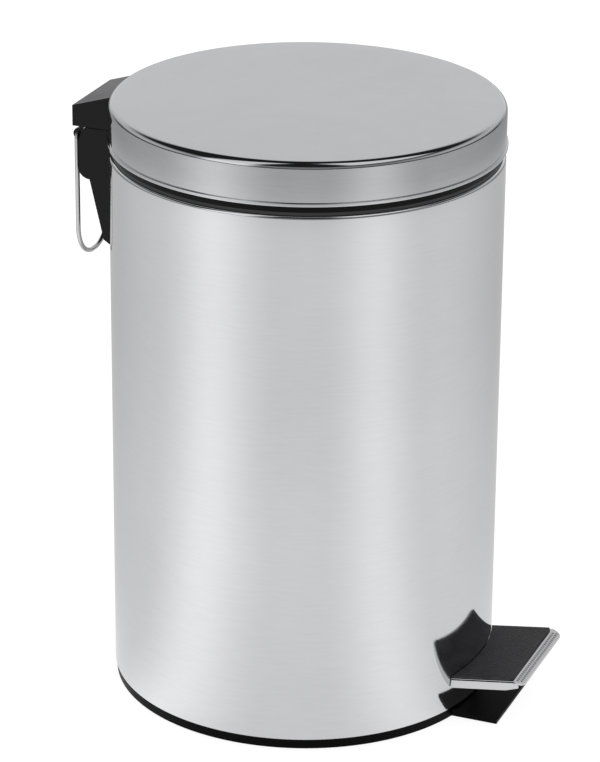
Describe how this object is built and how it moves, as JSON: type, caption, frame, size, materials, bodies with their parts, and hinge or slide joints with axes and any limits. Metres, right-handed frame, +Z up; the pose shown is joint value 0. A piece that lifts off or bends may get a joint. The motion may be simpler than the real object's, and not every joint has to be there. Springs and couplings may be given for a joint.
{
  "type": "pedal bin",
  "caption": "Round steel pedal bin with a hinged lid, foot pedal, lift-out plastic bucket and a wire carrying handle on the back.",
  "frame": {"origin": "on the floor, in the middle of the bin's outline with pedal and handle, 7.15 mm in front of the axis of the round body", "axes": "+Z up, -Y towards the pedal, +Y towards the lid hinge, +X to the right of someone who stands at the pedal and faces the bin"},
  "size_m": [0.2522, 0.3203, 0.3934],
  "materials": {
    "steel_shell": "fine satin polish",
    "steel_lid": "fine satin polish",
    "chromed_steel": "bright chrome",
    "plated_steel": "zinc plated",
    "plain_steel": "drawn wire",
    "base_plastic": "moulded, fine grain",
    "collar_plastic": "smooth moulded",
    "hinge_plastic": "moulded, satin",
    "bucket_plastic": "moulded, fine grain",
    "pedal_rubber": "stippled",
    "rubber_feet": "matt"
  },
  "bodies": {
    "bin": {"outer_shell": "steel_shell", "base_pan": "base_plastic", "anti_slip_pads": "rubber_feet", "pedal_axle": "plain_steel", "axle_clips": "plain_steel", "rod_guide": "hinge_plastic", "top_collar": "collar_plastic", "lid_buffers": "rubber_feet", "hinge_pin": "plain_steel", "hinge_housing": "hinge_plastic", "housing_screws": "plain_steel"},
    "lid": {"lid_shell": "steel_lid", "lid_bracket": "plated_steel", "hinge_cover": "hinge_plastic", "cover_screws": "plain_steel"},
    "pedal": {"pedal_lever": "plated_steel", "pedal_plate": "chromed_steel", "pedal_pad": "pedal_rubber", "pedal_rivets": "plain_steel"},
    "rod": {"push_rod": "plain_steel", "rod_clips": "plain_steel"},
    "handle": {"carry_handle": "chromed_steel"},
    "bucket": {"inner_bucket": "bucket_plastic"},
    "bucket_handle": {"bucket_bail": "plain_steel"}
  },
  "joints": [
    {"name": "lid_hinge", "type": "hinge", "parent": "bin", "child": "lid", "pos_m": [0, 0.14865, 0.362], "axis": [-1, 0, 0], "range_deg": [0, 68]},
    {"name": "pedal_hinge", "type": "hinge", "parent": "bin", "child": "pedal", "pos_m": [0, -0.03785, 0.017], "axis": [1, 0, 0], "range_deg": [0, 10.4]},
    {"name": "rod_pivot", "type": "hinge", "parent": "pedal", "child": "rod", "pos_m": [0, 0.12665, 0.0065], "axis": [-1, 0, 0], "range_deg": [0, 10.4]},
    {"name": "carry_handle_swing", "type": "hinge", "parent": "bin", "child": "handle", "pos_m": [0, 0.15635, 0.357], "axis": [1, 0, 0], "range_deg": [0, 80]},
    {"name": "bucket_lift", "type": "slide", "parent": "bin", "child": "bucket", "axis": [0, 0, 1], "range_m": [0, 0.005]},
    {"name": "bucket_bail_swing", "type": "hinge", "parent": "bucket", "child": "bucket_handle", "pos_m": [0, 0.00715, 0.3665], "axis": [-1, 0, 0], "range_deg": [0, 8]}
  ],
  "couplings": [
    {"joint": "pedal_hinge", "follows": "lid_hinge", "ratio": 0.152},
    {"joint": "rod_pivot", "follows": "lid_hinge", "ratio": 0.152}
  ]
}
